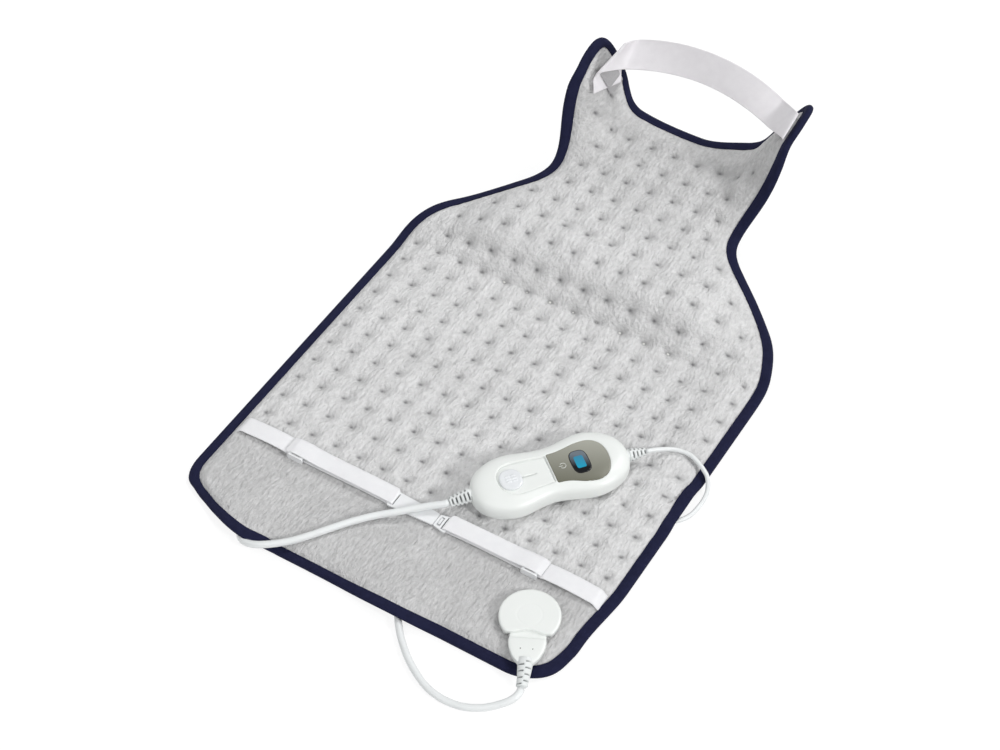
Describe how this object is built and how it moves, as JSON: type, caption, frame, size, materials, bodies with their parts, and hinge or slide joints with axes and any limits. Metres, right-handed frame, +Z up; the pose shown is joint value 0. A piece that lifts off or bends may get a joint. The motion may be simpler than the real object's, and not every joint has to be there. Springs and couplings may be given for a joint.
{
  "type": "heating pad",
  "caption": "Quilted plush heating pad for neck, shoulders and back, with a neck strap, a buckled waist strap and a wired hand controller with display and slide switch.",
  "frame": {"origin": "middle of the box of the pad with its straps, controller and plug, on the surface that it lies on; the free cords are not counted", "axes": "+X across the pad to the side where the controller lies, +Y from the straight lower hem to the neck, +Z up from the surface that the pad lies on"},
  "size_m": [0.4199, 0.6995, 0.1438],
  "materials": {
    "plush": "short light grey plush pile, quilted",
    "back_cloth": "plain light grey knit",
    "navy_tape": "navy woven binding tape, folded over the edge",
    "fill": "white polyester wadding",
    "carrier_cloth": "thin non-woven cloth",
    "wire_insulation": "insulated heating wire",
    "loop_tape": "hook and loop tape",
    "webbing": "narrow white woven webbing",
    "strap_cloth": "off-white woven strap",
    "white_plastic": "moulded white plastic, fine texture",
    "clear_plastic": "clear whitish moulded plastic",
    "olive_plastic": "olive grey moulded plastic",
    "black_gloss": "gloss black window",
    "display_blue": "lit blue display",
    "board_green": "green circuit board",
    "dark_plastic": "dark moulded plastic",
    "brass": "plated brass",
    "steel": "plain steel",
    "cord_white": "white flexible cord sheath"
  },
  "bodies": {
    "pad": {"plush_front_cover": "plush", "back_cover": "back_cloth", "edge_binding": "navy_tape", "wadding": "fill", "wire_carrier": "carrier_cloth", "heating_wire": "wire_insulation", "feed_lead_1": "wire_insulation", "feed_lead_2": "wire_insulation", "feed_lead_3": "wire_insulation", "loop_patch": "loop_tape", "waist_strap_left": "webbing", "controller_top_shell": "white_plastic", "controller_bottom_shell": "white_plastic", "control_cable_relief": "white_plastic", "mains_lead_relief": "white_plastic", "socket_base": "white_plastic", "socket_cap": "white_plastic", "clasp_hook": "white_plastic", "mains_plug": "white_plastic", "display_panel": "olive_plastic", "display_window": "black_gloss", "display": "display_blue", "circuit_board": "board_green", "display_holder": "dark_plastic", "relay": "dark_plastic", "fuse": "dark_plastic", "heat_switch": "dark_plastic", "overheat_cutout_1": "dark_plastic", "overheat_cutout_2": "dark_plastic", "coil_tie": "dark_plastic", "socket_pin_1": "brass", "socket_pin_2": "brass", "socket_pin_3": "brass", "mains_plug_pin_1": "brass", "mains_plug_pin_2": "brass", "shell_screw_1": "steel", "shell_screw_2": "steel", "control_cable": "cord_white", "mains_lead": "cord_white", "mains_lead_coil": "cord_white", "mains_lead_tail": "cord_white"},
    "heat_switch_knob": {"heat_switch_knob": "clear_plastic"},
    "pad_plug": {"pad_plug": "white_plastic", "pad_plug_relief": "white_plastic", "control_cable_end": "cord_white"},
    "neck_strap": {"neck_strap": "strap_cloth", "hook_patch": "loop_tape"},
    "waist_strap_right": {"waist_strap_right": "webbing", "clasp_eye": "white_plastic"},
    "slider_left": {"slider_left": "white_plastic"},
    "slider_right": {"slider_right": "white_plastic"}
  },
  "joints": [
    {"name": "heat_switch_slide", "type": "slide", "parent": "pad", "child": "heat_switch_knob", "axis": [0.6307, 0.776, 0], "range_m": [0, 0.013]},
    {"name": "pad_plug_pull", "type": "slide", "parent": "pad", "child": "pad_plug", "axis": [0.4083, -0.9128, 0], "range_m": [0, 0.012]},
    {"name": "neck_strap_turn", "type": "hinge", "parent": "pad", "child": "neck_strap", "pos_m": [0.10025, 0.3037, 0.11655], "axis": [0.1426, 0.9376, 0.3173], "range_deg": [0, 90]},
    {"name": "waist_strap_turn", "type": "hinge", "parent": "pad", "child": "waist_strap_right", "pos_m": [0.19251, -0.21506, 0.00666], "axis": [0, 1, 0], "range_deg": [0, 60]},
    {"name": "slider_left_slide", "type": "slide", "parent": "pad", "child": "slider_left", "axis": [-1, 0, 0], "range_m": [0, 0.03]},
    {"name": "slider_right_slide", "type": "slide", "parent": "waist_strap_right", "child": "slider_right", "axis": [1, 0, 0], "range_m": [0, 0.03]}
  ]
}
